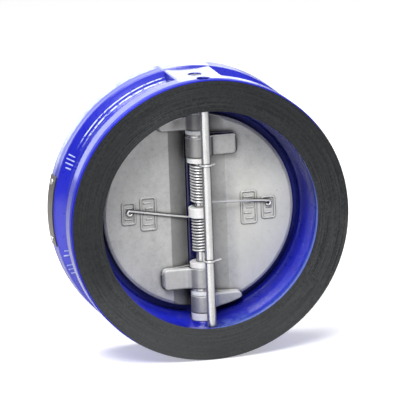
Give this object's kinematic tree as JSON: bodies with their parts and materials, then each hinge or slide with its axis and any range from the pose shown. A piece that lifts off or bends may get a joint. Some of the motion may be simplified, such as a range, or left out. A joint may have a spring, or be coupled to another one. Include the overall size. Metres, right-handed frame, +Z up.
{
  "type": "wafer check valve",
  "caption": "Short wafer check valve: ring body with recessed channel, two spring-closed half plates on a vertical hinge pin, stop pin in front.",
  "frame": {"origin": "on the bore axis at mid-length", "axes": "+Y along the bore towards the inlet, -Y the outlet side, +Z up along the hinge pin, +X to the right seen from the outlet"},
  "size_m": [0.2188, 0.076, 0.218],
  "materials": {
    "body": "gloss",
    "seat": "matt",
    "pin": "satin",
    "plate": "cast, pickled",
    "bush": "satin",
    "washer": "satin",
    "spring": "bright drawn",
    "plug": "satin",
    "plug_seal": "satin",
    "nameplate": "brushed",
    "rivet": "satin"
  },
  "bodies": {
    "valve_body": {"body": "body", "seat": "seat", "hinge_pin": "pin", "stop_pin": "pin", "spring_upper": "spring", "spring_lower": "spring", "centre_spacer": "bush", "thrust_bush_upper": "bush", "thrust_bush_lower": "bush", "end_bush_top": "bush", "end_bush_bottom": "bush", "lug_bush_upper": "bush", "lug_bush_lower": "bush", "lug_washer_upper": "washer", "lug_washer_lower": "washer", "hinge_pin_plug_top": "plug", "hinge_pin_plug_bottom": "plug", "stop_pin_plug_top": "plug", "stop_pin_plug_bottom": "plug", "plug_seals": "plug_seal", "nameplate": "nameplate", "nameplate_rivets": "rivet"},
    "right_plate": {"plate_right": "plate"},
    "left_plate": {"plate_left": "plate"}
  },
  "joints": [
    {"name": "right_plate_swing", "type": "hinge", "parent": "valve_body", "child": "right_plate", "pos_m": [0, -0.005, 0], "axis": [0, 0, -1], "range_deg": [0, 75], "stiffness_Nm_per_rad": 0.25, "deforming": ["spring_upper"]},
    {"name": "left_plate_swing", "type": "hinge", "parent": "valve_body", "child": "left_plate", "pos_m": [0, -0.005, 0], "axis": [0, 0, 1], "range_deg": [0, 75], "stiffness_Nm_per_rad": 0.25, "deforming": ["spring_lower"]}
  ]
}
